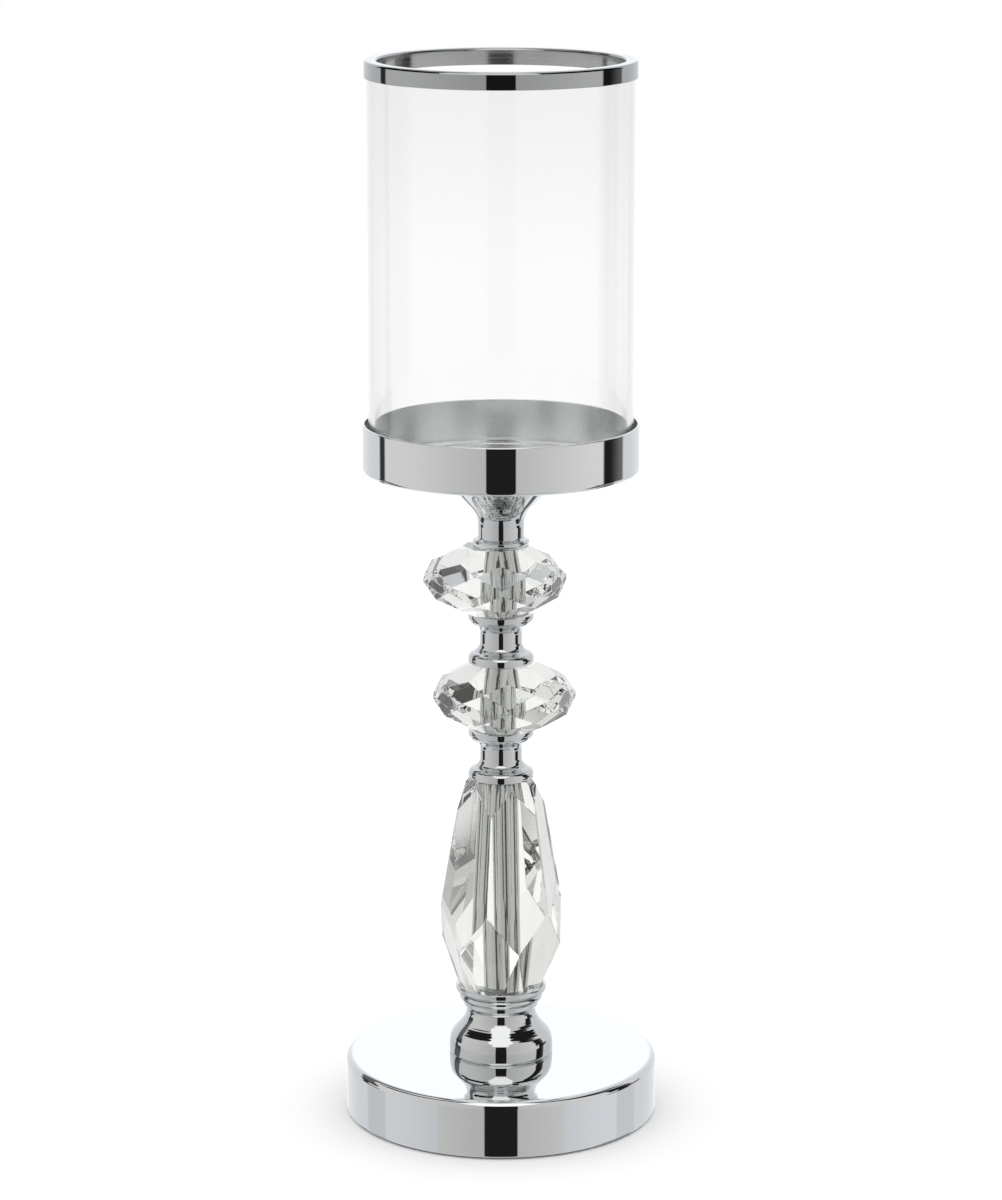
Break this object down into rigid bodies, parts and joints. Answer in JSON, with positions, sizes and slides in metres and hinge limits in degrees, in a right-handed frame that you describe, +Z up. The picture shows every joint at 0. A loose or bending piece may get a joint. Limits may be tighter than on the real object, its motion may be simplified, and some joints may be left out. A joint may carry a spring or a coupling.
{
  "type": "tabletop lantern",
  "caption": "Hurricane candle lantern: weighted chrome base, cut crystal stem on a tie rod, chrome cup and a lift-off clear glass cylinder with a chrome rim.",
  "frame": {"origin": "middle of the underside of the foam pad, on the surface the lantern stands on", "axes": "+Z up along the stem and the tie rod; -Y is the side that faces the picture's camera"},
  "size_m": [0.12, 0.12, 0.4068],
  "materials": {
    "chrome": "polished chrome plate",
    "cup_chrome": "polished chrome outside, satin inside",
    "crystal": "cut and polished clear crystal",
    "clear_glass": "clear glass, fire-polished edges",
    "clear_plastic": "thin clear washers",
    "zinc_steel": "zinc-plated steel",
    "iron": "black painted casting",
    "foam": "black foam pad"
  },
  "bodies": {
    "stand": {"base_shell": "chrome", "base_weight": "iron", "base_pad": "foam", "base_nut": "zinc_steel", "base_washer": "zinc_steel", "stem_foot": "chrome", "column_crystal": "crystal", "column_lower_washer": "clear_plastic", "column_upper_washer": "clear_plastic", "column_sleeve": "chrome", "lower_spool": "chrome", "lower_rondelle_crystal": "crystal", "lower_rondelle_lower_washer": "clear_plastic", "lower_rondelle_upper_washer": "clear_plastic", "lower_rondelle_sleeve": "chrome", "upper_spool": "chrome", "upper_rondelle_crystal": "crystal", "upper_rondelle_lower_washer": "clear_plastic", "upper_rondelle_upper_washer": "clear_plastic", "upper_rondelle_sleeve": "chrome", "cup_neck": "chrome", "tie_rod": "zinc_steel", "lantern_cup": "cup_chrome", "cup_washer": "zinc_steel", "cup_nut": "zinc_steel"},
    "chimney": {"hurricane_glass": "clear_glass", "rim_ring": "chrome"}
  },
  "joints": [
    {"name": "glass_lift", "type": "slide", "parent": "stand", "child": "chimney", "axis": [0, 0, 1], "range_m": [0, 0.16]}
  ]
}
